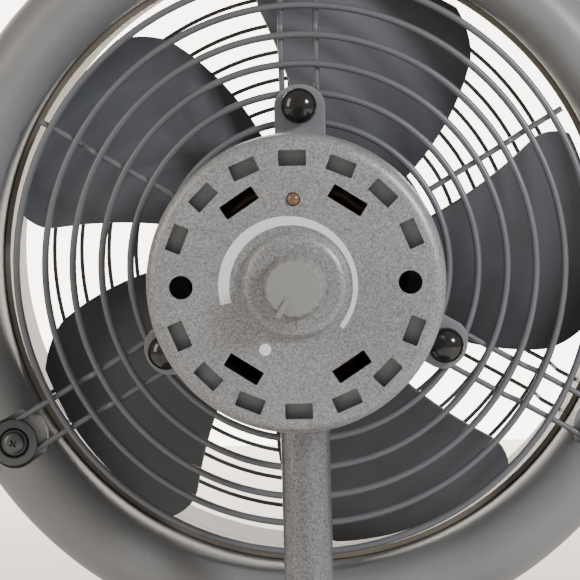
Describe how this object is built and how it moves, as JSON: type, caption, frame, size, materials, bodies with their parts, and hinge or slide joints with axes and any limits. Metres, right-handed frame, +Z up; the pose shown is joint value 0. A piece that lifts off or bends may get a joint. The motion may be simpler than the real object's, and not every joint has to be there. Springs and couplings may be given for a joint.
{
  "type": "axial air mover",
  "caption": "Ducted axial fan with a vented motor and speed knob at its inlet, wire guards on both sides, on a tilting post with a round weighted base.",
  "frame": {"origin": "on the floor under the centre line of the post, at the middle of the base", "axes": "+Z up; the fan axis is parallel to Y, with the motor and inlet towards -Y and the outlet towards +Y; +X is to the right seen from the motor side"},
  "size_m": [0.327, 0.3, 0.4815],
  "materials": {
    "stand_coat": "satin powder coat",
    "rubber": "matt",
    "black_plastic": "matt",
    "dark_steel": "black oxide",
    "post_coat": "satin metallic paint",
    "dark_coat": "satin powder coat",
    "motor_coat": "fine textured metallic paint",
    "aluminium": "cast",
    "steel": "ground",
    "copper": "varnished wire",
    "board": "solder mask",
    "lamp": "clear",
    "plate_coat": "satin paint",
    "gloss_black": "gloss",
    "wire_coat": "satin paint",
    "shroud_coat": "satin moulded",
    "duct_coat": "satin paint",
    "blade_plastic": "satin moulded",
    "knob_plastic": "satin"
  },
  "bodies": {
    "stand": {"base_plate": "stand_coat", "foot_1": "rubber", "foot_2": "rubber", "foot_3": "rubber", "foot_4": "rubber", "base_flange": "stand_coat", "cable_gland": "black_plastic", "flange_screw_1": "dark_steel", "flange_screw_2": "dark_steel", "flange_screw_3": "dark_steel", "lower_post": "post_coat", "tilt_fork": "dark_coat", "pivot_bolt": "dark_steel"},
    "clamp": {"clamp_knob": "black_plastic"},
    "head": {"tilt_tongue": "dark_coat", "post_tube": "post_coat", "post_saddle": "stand_coat", "motor_cover": "motor_coat", "front_bell": "aluminium", "front_bearing": "steel", "rear_bearing": "steel", "rear_bracket": "aluminium", "stator_core": "steel", "winding_rear": "copper", "winding_front": "copper", "control_board": "board", "potentiometer": "steel", "lamp": "lamp", "mounting_plate": "plate_coat", "dome_bolt_1": "gloss_black", "dome_bolt_2": "gloss_black", "dome_bolt_3": "gloss_black", "lug_nut_1": "dark_steel", "lug_nut_2": "dark_steel", "lug_nut_3": "dark_steel", "inlet_guard": "wire_coat", "guard_washer_1": "dark_steel", "guard_washer_2": "dark_steel", "guard_washer_3": "dark_steel", "guard_screw_1": "dark_steel", "guard_screw_2": "dark_steel", "guard_screw_3": "dark_steel", "shroud": "shroud_coat", "duct": "duct_coat", "outlet_sleeve": "duct_coat", "outlet_guard": "wire_coat", "outlet_screw_1": "dark_steel", "outlet_screw_2": "dark_steel", "outlet_screw_3": "dark_steel"},
    "rotor": {"motor_shaft": "steel", "rotor_core": "steel", "fan_wheel": "blade_plastic", "wheel_nut": "dark_steel"},
    "control": {"speed_knob": "knob_plastic", "speed_spindle": "steel"}
  },
  "joints": [
    {"name": "head_tilt", "type": "hinge", "parent": "stand", "child": "head", "pos_m": [0, 0, 0.118], "axis": [1, 0, 0], "range_deg": [-15, 35]},
    {"name": "clamp_turn", "type": "hinge", "parent": "stand", "child": "clamp", "pos_m": [0, 0, 0.118], "axis": [1, 0, 0], "range_deg": [0, 360]},
    {"name": "fan_spin", "type": "hinge", "parent": "head", "child": "rotor", "pos_m": [0, 0.0811, 0.318], "axis": [0, 1, 0], "continuous": true},
    {"name": "knob_turn", "type": "hinge", "parent": "head", "child": "control", "pos_m": [0, -0.061, 0.318], "axis": [0, 1, 0], "range_deg": [0, 283]}
  ]
}
